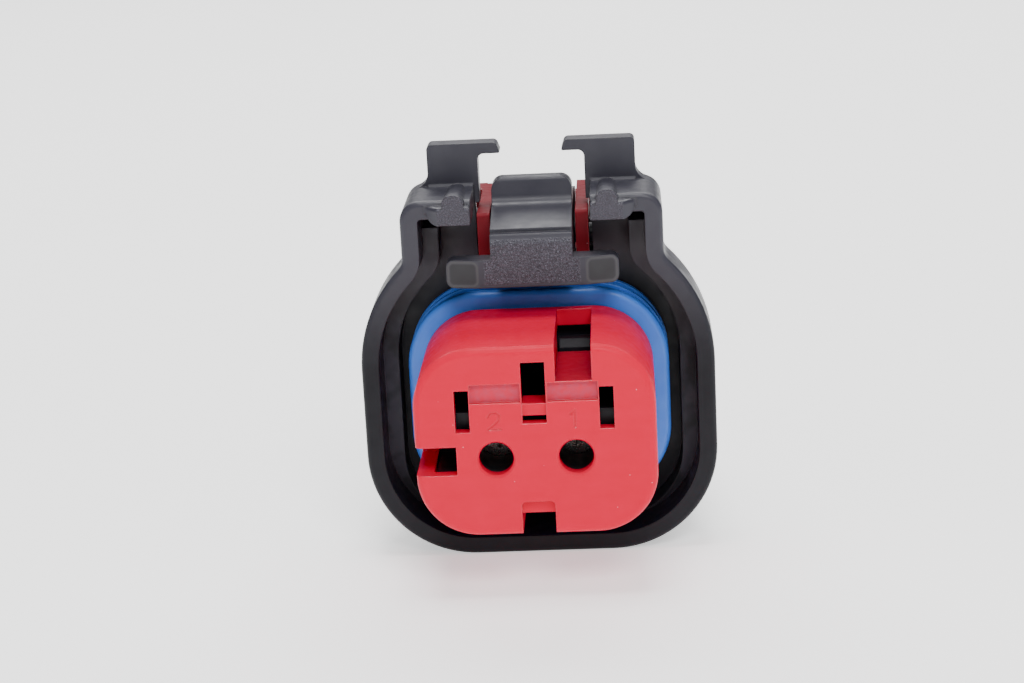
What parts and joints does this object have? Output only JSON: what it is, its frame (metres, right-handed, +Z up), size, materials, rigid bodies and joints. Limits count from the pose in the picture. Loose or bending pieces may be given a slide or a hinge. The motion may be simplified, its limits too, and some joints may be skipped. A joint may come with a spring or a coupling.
{
  "type": "sealed automotive plug",
  "caption": "Rounded sealed connector plug with a red front retainer, a blue ring seal, an open shroud, a rocker latch between hooked guard rails and a slide lock.",
  "frame": {"origin": "on the front face of the retainer, midway between the two contact axes", "axes": "+Z up towards the latch, +Y from the mating face back to the wires, +X to the right seen from the front"},
  "size_m": [0.0276, 0.0364, 0.0323],
  "materials": {
    "black_plastic": "satin moulded plastic with spark-eroded patches",
    "red_plastic": "satin moulded plastic",
    "blue_rubber": "soft oiled silicone rubber",
    "hood_steel": "bright strip",
    "contact_metal": "tin plated"
  },
  "bodies": {
    "plug_body": {"plug_housing": "black_plastic", "ring_seal": "blue_rubber", "wire_seal": "blue_rubber", "rear_cap": "black_plastic", "contact_hood_1": "hood_steel", "contact_hood_2": "hood_steel", "contact_socket_1": "contact_metal", "contact_socket_2": "contact_metal"},
    "retainer": {"front_retainer": "red_plastic"},
    "latch": {"latch_lever": "black_plastic"},
    "lock": {"slide_lock": "red_plastic"}
  },
  "joints": [
    {"name": "retainer_slide", "type": "slide", "parent": "plug_body", "child": "retainer", "axis": [0, -1, 0], "range_m": [0, 0.0024]},
    {"name": "latch_hinge", "type": "hinge", "parent": "plug_body", "child": "latch", "pos_m": [0, 0.018, 0.013], "axis": [-1, 0, 0], "range_deg": [0, 8], "stiffness_Nm_per_rad": 0.5},
    {"name": "lock_slide", "type": "slide", "parent": "plug_body", "child": "lock", "axis": [0, -1, 0], "range_m": [0, 0.0026]}
  ]
}
